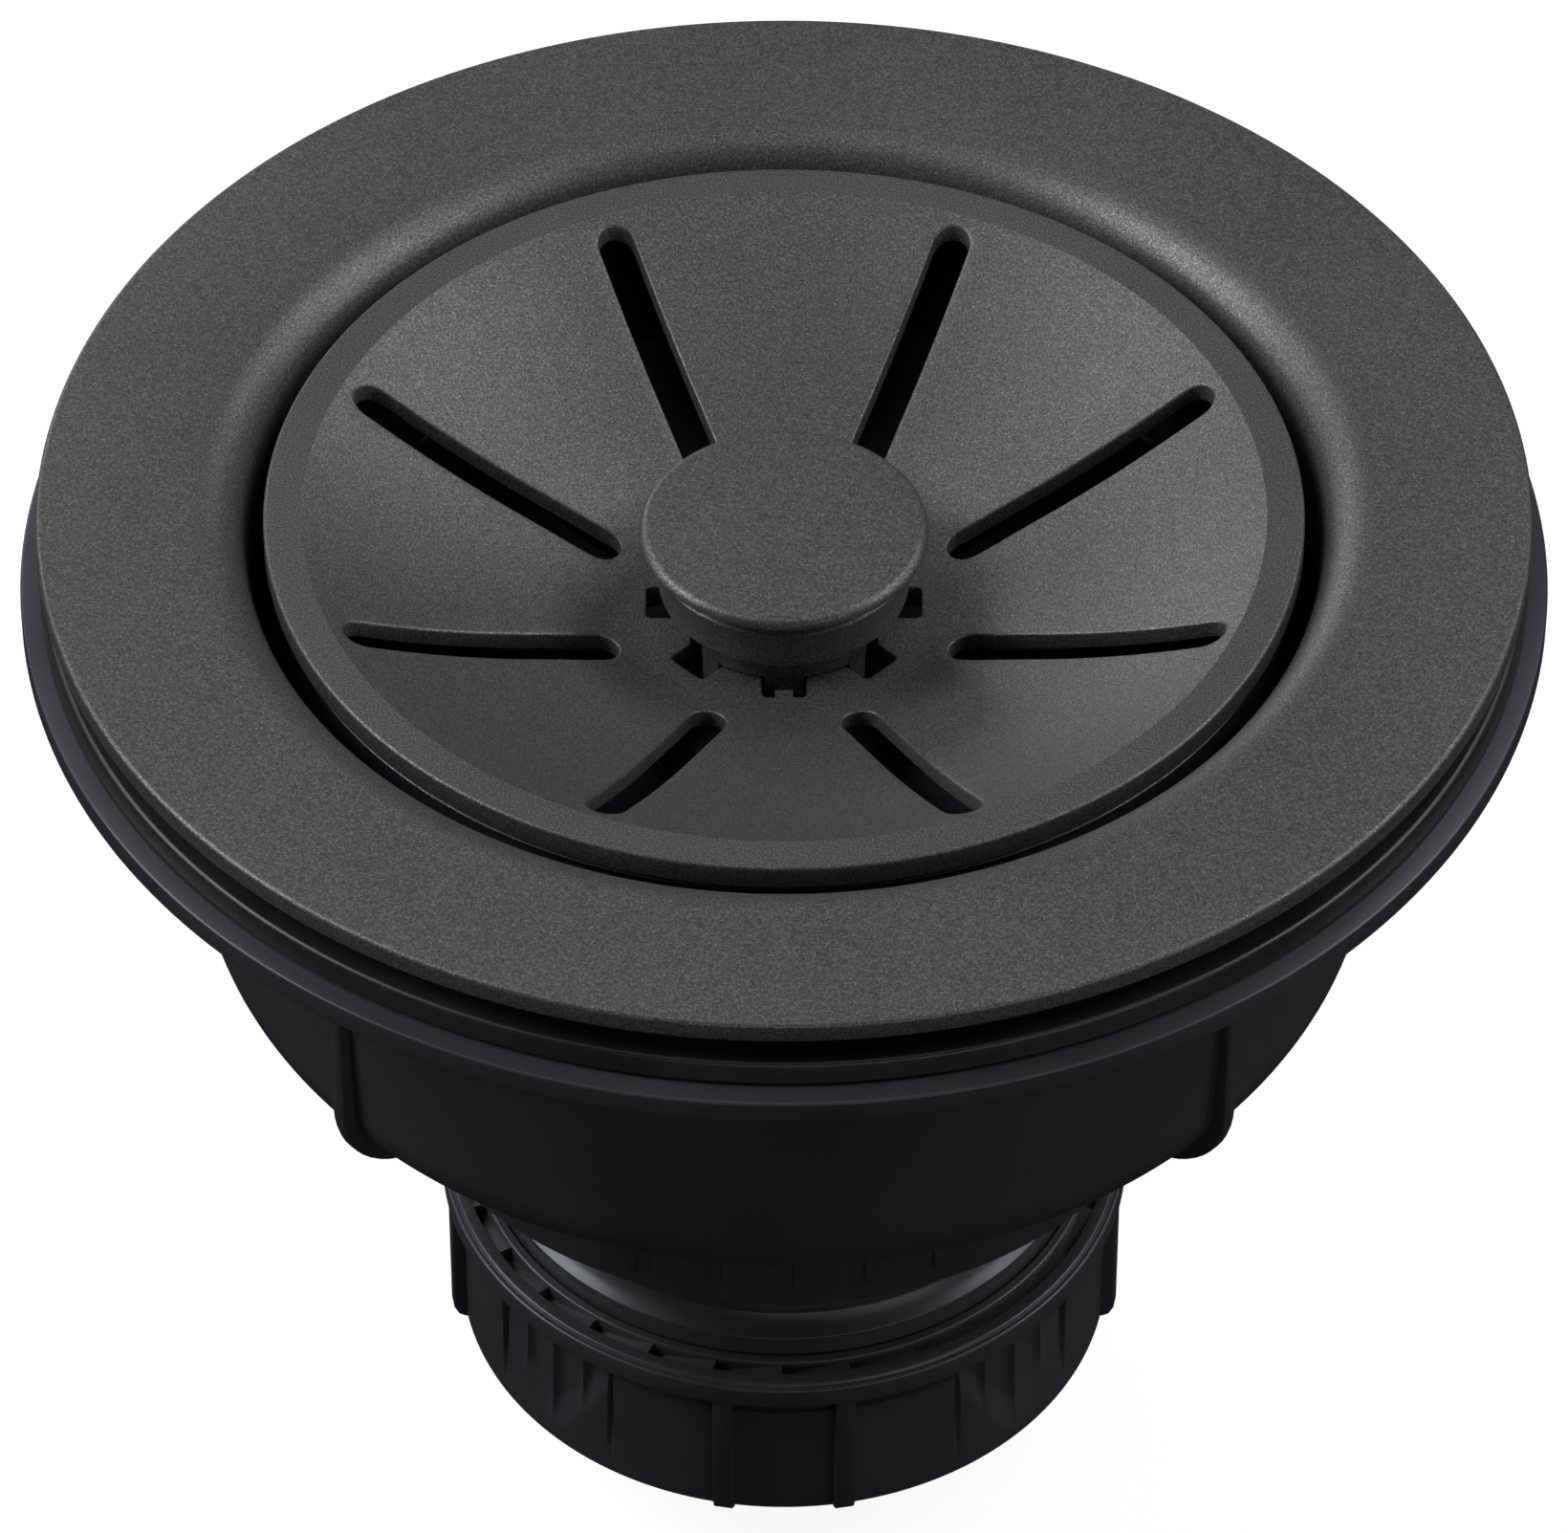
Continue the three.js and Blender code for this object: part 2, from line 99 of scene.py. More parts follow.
def rounded(corners, closed, steps=6):
    """The outline with each corner that has a rounding turned into an arc."""
    points = []
    count = len(corners)
    for i, corner in enumerate(corners):
        here = Vector(corner[:2])
        size = corner[2] if len(corner) > 2 else 0
        at_end = not closed and i in (0, count - 1)
        if not size or at_end:
            points.append(here)
            continue
        before = (Vector(corners[i - 1][:2]) - here).normalized()
        after = (Vector(corners[(i + 1) % count][:2]) - here).normalized()
        half = before.angle(after) / 2
        middle = here + (before + after).normalized() * (size / math.sin(half))
        start = here + before * (size / math.tan(half)) - middle
        end = here + after * (size / math.tan(half)) - middle
        sweep = start.angle_signed(end)
        for step in range(steps + 1):
            turn = -sweep * step / steps
            points.append(middle + Vector((
                start.x * math.cos(turn) - start.y * math.sin(turn),
                start.x * math.sin(turn) + start.y * math.cos(turn),
            )))
    return [(p.x, p.y) for p in points]


def arc(radius, depth, size, start, end, steps):
    """Points of an arc in an outline; angles in degrees, 0 outwards and 90 up."""
    points = []
    for step in range(steps + 1):
        angle = math.radians(start + (end - start) * step / steps)
        points.append((radius + size * math.cos(angle), depth - size * math.sin(angle)))
    return points


def new_object(name, bm):
    """An object made from the mesh, with all normals outwards."""
    bmesh.ops.recalc_face_normals(bm, faces=bm.faces)
    mesh = bpy.data.meshes.new(name)
    bm.to_mesh(mesh)
    bm.free()
    made = bpy.data.objects.new(name, mesh)
    bpy.context.scene.collection.objects.link(made)
    return made


def shade(piece, sharp=SHARP):
    piece.data.shade_smooth()
    piece.data.set_sharp_from_angle(angle=math.radians(sharp))


def finish_mesh(name, bm, sharp=SHARP):
    piece = new_object(name, bm)
    shade(piece, sharp)
    return piece


def turn_into(bm, outline, facets, radius_at=None):
    """Adds a solid of revolution. An outline that starts on the axis ends there too.

    radius_at(radius, depth, degrees) gives a radius that changes round the axis.
    """
    rings = []
    for radius, depth in outline:
        if radius < 1e-6:
            rings.append([bm.verts.new(polar(0, 0, depth))])
            continue
        ring = []
        for step in range(facets):
            degrees = 360 * step / facets
            r = radius_at(radius, depth, degrees) if radius_at else radius
            ring.append(bm.verts.new(polar(r, degrees, depth)))
        rings.append(ring)
    pairs = list(zip(rings, rings[1:]))
    if len(rings[0]) > 1:
        pairs.append((rings[-1], rings[0]))
    for low, high in pairs:
        for step in range(facets):
            following = (step + 1) % facets
            if len(low) == 1:
                bm.faces.new((low[0], high[step], high[following]))
            elif len(high) == 1:
                bm.faces.new((low[step], high[0], low[following]))
            else:
                bm.faces.new((low[step], high[step], high[following], low[following]))


def turned(name, corners, facets=FACETS):
    """A piece of revolution; its outline is closed unless it starts on the axis."""
    closed = corners[0][0] > 0
    bm = bmesh.new()
    turn_into(bm, rounded(corners, closed), facets)
    return finish_mesh(name, bm)


def skin_into(bm, rings):
    """Adds a closed skin over a row of vertex rings, with a face on each end."""
    bm.faces.new(rings[0][::-1])
    bm.faces.new(rings[-1])
    for low, high in zip(rings, rings[1:]):
        for i in range(len(low)):
            j = (i + 1) % len(low)
            bm.faces.new((low[i], low[j], high[j], high[i]))


def slab_into(bm, loop, low, high):
    """Adds an upright prism on a loop of (x, y) points, between two depths."""
    skin_into(bm, [
        [bm.verts.new(Vector((x, y, TOP - depth)) * MM) for x, y in loop]
        for depth in (high, low)
    ])


def circle(radius, turns):
    """Points (x, y) on a circle at the given angles in degrees."""
    angles = [math.radians(turn) for turn in turns]
    return [(radius * math.cos(angle), radius * math.sin(angle)) for angle in angles]


def spun(points, degrees):
    """The (x, y) points turned about the axis."""
    angle = math.radians(degrees)
    c, s = math.cos(angle), math.sin(angle)
    return [(x * c - y * s, x * s + y * c) for x, y in points]


def slot_loop(inner, outer, width, degrees, straight=1):
    """The outline in plan of a radial slot with round ends, each side in straight parts."""
    steps = 10
    half = width / 2
    length = outer - inner - width
    loop = []
    for start, centre, side in ((-90, outer - half, 1), (90, inner + half, -1)):
        for step in range(steps + 1):
            angle = math.radians(start + 180 * step / steps)
            loop.append((centre + half * math.cos(angle), half * math.sin(angle)))
        for step in range(1, straight):
            loop.append((centre - side * length * step / straight, side * half))
    return spun(loop, degrees)


def bar_loop(inner, outer, width, degrees):
    """The outline in plan of a radial bar with square ends."""
    half = width / 2
    return spun([(inner, -half), (outer, -half), (outer, half), (inner, half)], degrees)


def combine(piece, other, operation):
    """Cuts or joins the piece with another object, which is then removed."""
    modifier = piece.modifiers.new("combine", "BOOLEAN")
    modifier.operation = operation
    modifier.solver = "EXACT"
    modifier.object = other
    shown = piece.evaluated_get(bpy.context.evaluated_depsgraph_get())
    mesh = bpy.data.meshes.new_from_object(shown)
    piece.modifiers.clear()
    piece.data = mesh
    bpy.data.objects.remove(other)
    shade(piece)


def combine_slabs(piece, loops, low, high, operation="DIFFERENCE"):
    """Cuts prisms on these loops out of the piece, or adds them to it."""
    bm = bmesh.new()
    for loop in loops:
        slab_into(bm, loop, low, high)
    combine(piece, new_object("slabs", bm), operation)


def around(count, start=0):
    """Evenly spaced angles in degrees, from the start on."""
    return [start + 360 * i / count for i in range(count)]


def place(piece, body, slot, material, *nodes):
    """Gives the piece its material and its body, and hides the CAD nodes that it stands for."""
    piece.data.materials.clear()
    piece.data.materials.append(material)
    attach(piece, body)
    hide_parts(*nodes)


# ---- materials ----
class Nodes:
    """A short way to write a node material."""

    def __init__(self, name):
        self.material = bpy.data.materials.new(name)
        self.material.use_nodes = True
        self.tree = self.material.node_tree
        self.shader = self.tree.nodes["Principled BSDF"]
        coordinates = self.tree.nodes.new("ShaderNodeTexCoord")
        self.place = coordinates.outputs["Object"]

    def link(self, source, target):
        self.tree.links.new(source, target)

    def noise(self, scale, detail, rough=0.5, stretch=None):
        node = self.tree.nodes.new("ShaderNodeTexNoise")
        node.inputs["Scale"].default_value = scale
        node.inputs["Detail"].default_value = detail
        node.inputs["Roughness"].default_value = rough
        source = self.place
        if stretch:
            mapping = self.tree.nodes.new("ShaderNodeMapping")
            mapping.inputs["Scale"].default_value = stretch
            self.link(self.place, mapping.inputs["Vector"])
            source = mapping.outputs["Vector"]
        self.link(source, node.inputs["Vector"])
        return node.outputs["Fac"]

    def ramp(self, value, *stops):
        node = self.tree.nodes.new("ShaderNodeValToRGB")
        elements = node.color_ramp.elements
        while len(elements) < len(stops):
            elements.new(0.5)
        for element, (position, colour) in zip(elements, stops):
            element.position = position
            element.color = (*colour, 1)
        self.link(value, node.inputs["Fac"])
        return node.outputs["Color"]

    def span(self, value, to_low, to_high):
        """Maps the middle of a noise's range, 0.3 to 0.7, onto another range."""
        node = self.tree.nodes.new("ShaderNodeMapRange")
        node.inputs["From Min"].default_value = 0.3
        node.inputs["From Max"].default_value = 0.7
        node.inputs["To Min"].default_value = to_low
        node.inputs["To Max"].default_value = to_high
        self.link(value, node.inputs["Value"])
        return node.outputs["Result"]

    def multiply(self, first, second):
        """The product of two colours."""
        node = self.tree.nodes.new("ShaderNodeMix")
        node.data_type = "RGBA"
        node.blend_type = "MULTIPLY"
        factor, colour_a, colour_b, colour_out = 0, 6, 7, 2
        node.inputs[factor].default_value = 1.0
        self.link(first, node.inputs[colour_a])
        self.link(second, node.inputs[colour_b])
        return node.outputs[colour_out]

    def bump(self, height, strength, distance):
        node = self.tree.nodes.new("ShaderNodeBump")
        node.inputs["Strength"].default_value = strength
        node.inputs["Distance"].default_value = distance
        self.link(height, node.inputs["Height"])
        return node.outputs["Normal"]


def graphite_coating():
    """Satin graphite coating with a fine light and dark speckle."""
    m = Nodes("graphite_coating")
    grain = m.noise(6200, detail=2, rough=0.65)
    drift = m.noise(45, detail=2)
    speckle = m.ramp(
        grain,
        (0.36, (0.050, 0.049, 0.047)),
        (0.50, (0.098, 0.096, 0.092)),
        (0.64, (0.158, 0.156, 0.150)),
        (0.74, (0.300, 0.297, 0.290)),
    )
    patches = m.ramp(drift, (0.35, (0.90, 0.90, 0.90)), (0.65, (1.0, 1.0, 1.0)))
    m.link(m.multiply(speckle, patches), m.shader.inputs["Base Color"])
    m.link(m.span(grain, 0.50, 0.40), m.shader.inputs["Roughness"])
    m.link(m.bump(grain, 0.35, 0.00006), m.shader.inputs["Normal"])
    m.shader.inputs["Metallic"].default_value = 0.55
    return m.material


def moulded_plastic():
    """Near-black moulded plastic with a satin skin and a fine grain."""
    m = Nodes("moulded_plastic")
    grain = m.noise(2600, detail=3, rough=0.6)
    drift = m.noise(60, detail=3)
    colour = m.ramp(drift, (0.3, (0.0285, 0.0312, 0.0350)), (0.7, (0.0350, 0.0378, 0.0420)))
    m.link(colour, m.shader.inputs["Base Color"])
    m.link(m.span(drift, 0.30, 0.38), m.shader.inputs["Roughness"])
    m.link(m.bump(grain, 0.25, 0.00003), m.shader.inputs["Normal"])
    m.shader.inputs["Specular IOR Level"].default_value = 0.45
    m.shader.inputs["Specular Tint"].default_value = (0.88, 0.96, 1.0, 1.0)
    return m.material


def black_rubber():
    """Matt black rubber with a dusty bloom."""
    m = Nodes("black_rubber")
    grain = m.noise(1800, detail=4, rough=0.7)
    bloom = m.noise(90, detail=3)
    colour = m.ramp(bloom, (0.35, (0.0125, 0.0123, 0.0118)), (0.75, (0.0185, 0.0180, 0.0172)))
    m.link(colour, m.shader.inputs["Base Color"])
    m.link(m.span(bloom, 0.34, 0.44), m.shader.inputs["Roughness"])
    m.link(m.bump(grain, 0.4, 0.00004), m.shader.inputs["Normal"])
    return m.material


def stainless():
    """Turned stainless steel, with rings left by the tool."""
    m = Nodes("stainless")
    rings = m.noise(1500, detail=2, stretch=(0.05, 0.05, 3.0))
    stain = m.noise(120, detail=3)
    colour = m.ramp(stain, (0.3, (0.48, 0.48, 0.47)), (0.7, (0.60, 0.60, 0.59)))
    m.link(colour, m.shader.inputs["Base Color"])
    m.link(m.span(rings, 0.24, 0.38), m.shader.inputs["Roughness"])
    m.link(m.bump(rings, 0.2, 0.00003), m.shader.inputs["Normal"])
    m.shader.inputs["Metallic"].default_value = 1.0
    return m.material


def brass():
    """Turned brass, slightly dulled."""
    m = Nodes("brass")
    rings = m.noise(1500, detail=2, stretch=(0.05, 0.05, 3.0))
    stain = m.noise(200, detail=3)
    colour = m.ramp(stain, (0.3, (0.50, 0.34, 0.12)), (0.7, (0.66, 0.47, 0.19)))
    m.link(colour, m.shader.inputs["Base Color"])
    m.link(m.span(rings, 0.26, 0.40), m.shader.inputs["Roughness"])
    m.link(m.bump(rings, 0.2, 0.00003), m.shader.inputs["Normal"])
    m.shader.inputs["Metallic"].default_value = 1.0
    return m.material


COATING = graphite_coating()
PLASTIC = moulded_plastic()
RUBBER = black_rubber()
STEEL = stainless()
BRASS = brass()


# ---- sink side ----
def sink_flange():
    """The flange with its rolled mouth, and its bore, sloping seat and slotted floor."""
    sheet = 1.2
    bore = 41
    mouth = 4.4
    seat_top, seat_foot, sump = 22, 29, 34
    floor = foot_of("sink_flange") - sheet
    hole = 3.4
    slot_in, slot_out, slot_width = 11, 31, 5
    outline = [
        (hole, floor, 0.2),
        (sump, floor, 1.0),
        (sump, seat_foot, 1.0),
        (bore, seat_top, 1.0),
        *arc(bore + mouth, mouth, mouth, 180, 90, 28),
        (FLANGE_R, 0, 0.4),
        (FLANGE_R, 1.8, 0.25),
        (FLANGE_R - 1, 1.8, 0.2),
        (FLANGE_R - 1, sheet, 0.1),
        *arc(bore + mouth, mouth, mouth - sheet, 90, 180, 20),
        (bore + sheet, seat_top + 0.5, 1.5),
        (sump + sheet, seat_foot + 0.5, 1.5),
        (sump + sheet, floor + sheet, 0.8),
        (hole, floor + sheet, 0.2),
    ]
    piece = turned("flange_shell", outline)
    slots = [slot_loop(slot_in, slot_out, slot_width, turn) for turn in around(8, 22.5)]
    combine_slabs(piece, slots, floor - 1, floor + 3)
    place(piece, "flange", "graphite_coating", COATING, "sink_flange")


def flange_seal():
    top, foot = top_of("flange_seal"), foot_of("flange_seal")
    inner, outer = 47.6, 53.4
    outline = [(inner, top, 0.2), (outer, top, 0.2), (outer, foot, 0.2), (inner, foot, 0.2)]
    place(turned("flange_ring_seal", outline), "flange", "black_rubber", RUBBER, "flange_seal")


def body_gasket():
    inner, outer = 44.6, reach("body_gasket")
    foot = foot_of("body_gasket")
    outline = [
        (inner, GASKET_TOP, 0.3),
        (outer - 0.3, GASKET_TOP, 0.36),
        (outer, foot, 0.3),
        (inner, foot, 0.3),
    ]
    place(turned("gasket_ring", outline), "drain", "black_rubber", RUBBER, "body_gasket")


# ---- drain body ----
def soft_edges(half, soft):
    """Places across a rib and how far its outline is cut back there, for edges that look soft."""
    first = [(-half, soft), (-half + soft * 0.3, soft * 0.3), (-half + soft, 0)]
    return first + [(-side, cut) for side, cut in first[::-1]]


def bowl_rib_into(bm, degrees):
    """Adds a thin rib down the bowl's side and under it, with a rounded corner and soft edges."""
    outer, foot, corner, thick, soft = 47.35, 43.4, 9.6, 1.3, 0.3
    inner, top = 31.0, 8.0
    angle = math.radians(degrees)
    along = Vector((math.cos(angle), math.sin(angle), 0))
    across = Vector((-math.sin(angle), math.cos(angle), 0))
    rings = []
    for side, cut in soft_edges(thick / 2, soft):
        loop = [
            (inner, top), (outer - cut, top),
            *arc(outer - corner, foot - corner, corner - cut, 0, -90, 14),
            (inner, foot - cut),
        ]
        rings.append([
            bm.verts.new((along * radius + across * side + Vector((0, 0, TOP - depth))) * MM)
            for radius, depth in loop
        ])
    skin_into(bm, rings)


def drum_pad_into(bm, radius, middle):
    """Adds a plain raised pad on the drum, with rounded corners and a soft edge."""
    half_width, top, foot = 2.1, 45.6, 54.2
    lift, corner, sunk = 0.22, 0.9, 0.4
    steps = 5

    def ring(inset, r):
        half = half_width - inset
        low, high = top + inset, foot - inset
        size = corner - inset * 0.5
        corners = (
            (half - size, high - size, 0), (-half + size, high - size, 90),
            (-half + size, low + size, 180), (half - size, low + size, 270),
        )
        points = []
        for x, depth, start in corners:
            for step in range(steps + 1):
                angle = math.radians(start + 90 * step / steps)
                points.append((x + size * math.cos(angle), depth + size * math.sin(angle)))
        return [
            bm.verts.new(polar(r, middle + math.degrees(x / radius), depth))
            for x, depth in points
        ]

    skin_into(bm, [
        ring(0, radius - sunk), ring(0, radius + lift * 0.5),
        ring(0.07, radius + lift * 0.85), ring(0.2, radius + lift),
    ])


def drain_body():
    """The bowl with its rim and ribs, the drum with its pads and spider, and the neck."""
    bowl, bowl_foot = 46.5, 41.3
    drum, drum_foot = 32.6, 55.4
    collar, collar_top, collar_foot = 24.35, 68.6, 70.8
    neck = 23.9
    pipe = 20.6
    wall = 2.2
    corner = 7.5
    wall_foot = bowl - 0.3
    rim_slope_in = 57.0
    corner_middle = (wall_foot - corner, bowl_foot - corner)
    outline = [
        (bowl - wall - 0.6, RIM_TOP, 0.2),
        (rim_slope_in, RIM_TOP, 0.1),
        (RIM_R, RIM_TOP + 0.22, 0.24),
        (RIM_R, 8.67, 0.3),
        (bowl + 1.3, 8.75, 0.15),
        (bowl + 0.5, 10.0, 0.8),
        *arc(*corner_middle, corner, 0, -90, 20),
        (drum, bowl_foot, 0.8),
        (drum, drum_foot, 0.12),
        (drum - 0.35, drum_foot + 0.05, 0.05),
        (drum - 0.4, drum_foot + 0.5, 0.12),
        (drum - 0.9, drum_foot + 0.9, 0.3),
        (23.0, 66.6, 0.22),
        (22.9, 67.15, 0.3),
        (23.45, 68.0, 3.0),
        (collar, collar_top, 0.16),
        (collar, collar_foot, 0.1),
        (neck, collar_foot + 0.3, 0.1),
        (neck, NECK_FOOT - 0.5, 0.3),
        (neck - 0.5, NECK_FOOT, 0.15),
        (pipe + 1.8, NECK_FOOT, 0.2),
        (pipe, NECK_FOOT - 3, 0.8),
        (pipe, 65.6, 2.0),
        (drum - 2.7, drum_foot - 1, 2.0),
        (drum - 2.7, bowl_foot - wall, 0.8),
        *arc(*corner_middle, corner - wall, -90, 0, 16),
    ]
    piece = turned("waste_body", outline)

    ribs_bm = bmesh.new()
    for turn in (44.1, 135.9, 224.1, 315.9):
        bowl_rib_into(ribs_bm, turn)
    ribs = new_object("ribs", ribs_bm)
    # The ribs end inside the wall, so that nothing of them shows in the bowl.
    room_outline = [
        (0, RIM_TOP + 1, 0), (bowl - 2.4, RIM_TOP + 1, 0),
        *arc(*corner_middle, corner - wall / 2, 0, -90, 8),
        (drum - 1.2, bowl_foot - wall / 2, 0), (drum - 1.2, drum_foot, 0), (0, drum_foot, 0),
    ]
    room_bm = bmesh.new()
    turn_into(room_bm, rounded(room_outline, False), 96)
    combine(ribs, new_object("room", room_bm), "DIFFERENCE")
    combine(piece, ribs, "UNION")

    pads_in_row, pad_pitch = 6, 9.8
    arm_in, arm_out, arm_width, arm_top, arm_foot = 6.4, drum - 2.2, 2.4, 42, 50
    boss_in, boss_out, boss_top, boss_foot = 5.3, 7.5, 40.6, 51.5
    extras = bmesh.new()
    for side in (270, 90):
        for pad in range(pads_in_row):
            drum_pad_into(extras, drum, side + (pad - (pads_in_row - 1) / 2) * pad_pitch)
    for turn in around(3, 90):
        slab_into(extras, bar_loop(arm_in, arm_out, arm_width, turn), arm_top, arm_foot)
    turn_into(extras, rounded([
        (boss_in, boss_top, 0.2), (boss_out, boss_top, 0.5),
        (boss_out, boss_foot, 0.5), (boss_in, boss_foot, 0.2),
    ], True), 96)
    combine(piece, new_object("extras", extras), "UNION")
    place(
        piece, "drain", "moulded_plastic", PLASTIC,
        "drain_body", "outlet_neck", "screw_spider",
    )


def threaded_insert():
    top, foot = top_of("threaded_insert"), foot_of("threaded_insert")
    bore, outer = 3.2, reach("threaded_insert")
    waist = outer - 0.6
    outline = [
        (bore, top, 0.4), (outer, top, 0.3), (outer, top + 3.5, 0.2), (waist, top + 4, 0.2),
        (waist, foot - 4, 0.2), (outer, foot - 3.5, 0.2), (outer, foot, 0.3), (bore, foot, 0.4),
    ]
    place(turned("insert_sleeve", outline, 96), "drain", "brass", BRASS, "threaded_insert")


# ---- clamp screw ----
def clamp_screw():
    """A screw with rings for its thread and a hexagon socket in its head."""
    top, foot = top_of("clamp_screw"), foot_of("clamp_screw")
    head, shank, pitch = 5.2, 2.9, 1.0
    seat = top + 2.4
    thread_top, thread_deep = seat + 6, 0.5
    socket_r, socket_deep = 2.9, 1.5
    outline = [
        (0, top), (head, top, 0.7), (head, seat, 0.15), (shank, seat, 0.1), (shank, thread_top),
    ]
    for ring in range(int((foot - 1 - thread_top) / pitch)):
        depth = thread_top + ring * pitch
        outline += [
            (shank, depth + 0.1), (shank - thread_deep, depth + pitch / 2), (shank, depth + 0.9),
        ]
    outline += [(shank, foot - 1, 0.1), (shank - 0.9, foot, 0.2), (0, foot)]
    piece = turned("long_screw", outline, 96)
    combine_slabs(piece, [circle(socket_r, around(6))], top - 1, top + socket_deep)
    place(piece, "screw", "stainless", STEEL, "clamp_screw")


def flat_ring(name, node, inner, body, slot, material):
    """A washer or flat seal."""
    top, foot = top_of(node), foot_of(node)
    outer = reach(node)
    outline = [(inner, top, 0.15), (outer, top, 0.2), (outer, foot, 0.2), (inner, foot, 0.15)]
    place(turned(name, outline, 128), body, slot, material, node)


# ---- slip joint ----
NUT_SKIRT_R = 26.6
NUT_LIP_FOOT = 72.8


def clamped(value):
    return max(0.0, min(1.0, value))


def grip_depth(degrees, depth):
    """How far a fluted grip is sunk into the nut's side: deepest under the lip, none at the foot.

    A grip ends on each side in a narrow wedge, and its flutes end below along a rounded line.
    """
    grip_half, wedge, flutes = 14, 1.1, 4
    foot, height = NUT_FOOT - 0.9, 12.2
    wedge_deep, grip_deep, flute_deep, flute_extra = 0.95, 0.35, 0.12, 0.55
    lowest, rise, run_in = 0.04, 0.81, 0.28  # shares of the height: where the flutes end below
    off = (degrees % 90) - 45
    inside = grip_half - abs(off)
    if inside < 1e-6:
        return 0.0
    up = clamped((foot - depth) / height)
    if inside < wedge:
        return wedge_deep * up
    across = (off + grip_half) / (2 * grip_half) * flutes
    in_flute = 2 * (across - math.floor(across)) - 1
    low_end = lowest + rise * (abs(off) / grip_half) ** 1.5
    run = clamped((up - low_end) / run_in)
    return grip_deep * up + run * (flute_deep + flute_extra * (1 - in_flute**4))


def ratchet_into(bm, inner, outer, deep):
    """Adds saw teeth to the nut's top: each rises anticlockwise and drops straight down."""
    teeth, steps = 30, 6
    pitch = 360 / teeth
    length = pitch * 0.97
    for tooth in range(teeth):
        start = (tooth + 0.5) * pitch
        shares = [step / steps for step in range(steps + 1)]
        rings = []
        for radius in (inner - 0.05, outer + 0.05):
            ramp = [polar(radius, start + length * t, NUT_TOP + deep * (1 - t)) for t in shares]
            base = [polar(radius, start + length * t, NUT_TOP + deep + 0.2) for t in shares]
            rings.append([bm.verts.new(point) for point in ramp + base[::-1]])
        skin_into(bm, rings)


def nut_rib_into(bm, degrees):
    """Adds an upright rib to the nut, with soft edges and a chamfered foot."""
    outer, half, inner, soft = 27.65, 0.82, NUT_SKIRT_R - 0.8, 0.16
    profile = [
        (NUT_LIP_FOOT + 0.1, outer), (NUT_FOOT - 1.1, outer),
        (NUT_FOOT - 0.35, outer - 0.35), (NUT_FOOT - 0.02, outer - 0.85),
    ]
    rings = []
    for depth, radius in profile:
        section = [(-half, inner)]
        section += [(side, radius - cut) for side, cut in soft_edges(half, soft)]
        section += [(half, inner)]
        rings.append([
            bm.verts.new(polar(
                math.hypot(out, side), degrees + math.degrees(math.atan2(side, out)), depth,
            ))
            for side, out in section
        ])
    skin_into(bm, rings)


def slip_nut():
    """The union nut: ratchet and lip above, and grips and pairs of ribs round its side."""
    bore, seat, pipe = 24.25, 84.4, 20.7
    tooth_in, tooth_out, deep = 25.3, 26.3, 1.05
    groove = 0.5
    skirt_top, skirt_foot, rows = NUT_LIP_FOOT + 2.05, NUT_FOOT - 0.4, 44
    row_height = (skirt_foot - skirt_top) / rows
    rib_off = 10.3
    outline = rounded([
        (bore + 0.3, NUT_TOP - NUT_RING, 0.08),
        (tooth_in, NUT_TOP - NUT_RING, 0.2),
        (tooth_in, NUT_TOP + deep, 0.05),
        (tooth_out, NUT_TOP + deep, 0.05),
        (tooth_out, NUT_TOP, 0.08),
        (NUT_R - 0.62, NUT_TOP, 0.22),
        (NUT_R - 0.47, NUT_TOP + 0.27, 0.04),
        (NUT_R, NUT_TOP + 0.24, 0.24),
        (NUT_R, NUT_LIP_FOOT, 0.15),
        (NUT_SKIRT_R - groove, NUT_LIP_FOOT + 0.1, 0.1),
        (NUT_SKIRT_R - groove, NUT_LIP_FOOT + 1.9, 0.1),
        *((NUT_SKIRT_R, skirt_top + row_height * row) for row in range(rows)),
        (NUT_SKIRT_R, NUT_FOOT, 0.12),
        (pipe, NUT_FOOT, 0.2),
        (pipe, seat, 0.1),
        (bore, seat, 0.3),
        (bore, NUT_TOP + 0.8, 0.1),
        (bore + 0.3, NUT_TOP + 0.6, 0.1),
    ], True, 4)

    def sunk(radius, depth, degrees):
        on_skirt = NUT_SKIRT_R - groove - 1e-6 < radius < NUT_SKIRT_R + 1e-6
        if on_skirt and NUT_LIP_FOOT < depth < NUT_FOOT - 0.3:
            return min(radius, NUT_SKIRT_R - grip_depth(degrees, depth))
        return radius

    bm = bmesh.new()
    turn_into(bm, outline, 720, sunk)
    ratchet_into(bm, tooth_in, tooth_out, deep)
    for middle in around(4):
        nut_rib_into(bm, middle - rib_off)
        nut_rib_into(bm, middle + rib_off)
    piece = finish_mesh("union_nut", bm, sharp=24)
    place(piece, "nut", "moulded_plastic", PLASTIC, "slip_nut")


def cone_gasket():
    top, foot = top_of("cone_gasket"), foot_of("cone_gasket")
    outer = reach("cone_gasket")
    pipe, cone, shoulder = 20.3, 22.05, top + 2.1
    outline = [
        (pipe, top, 0.15), (21, top, 0.2), (cone, top + 1.75, 0.1), (cone, shoulder, 0.1),
        (outer, shoulder, 0.2), (outer, foot, 0.2), (pipe, foot, 0.2),
    ]
    place(turned("taper_gasket", outline), "slip_ring", "black_rubber", RUBBER, "cone_gasket")


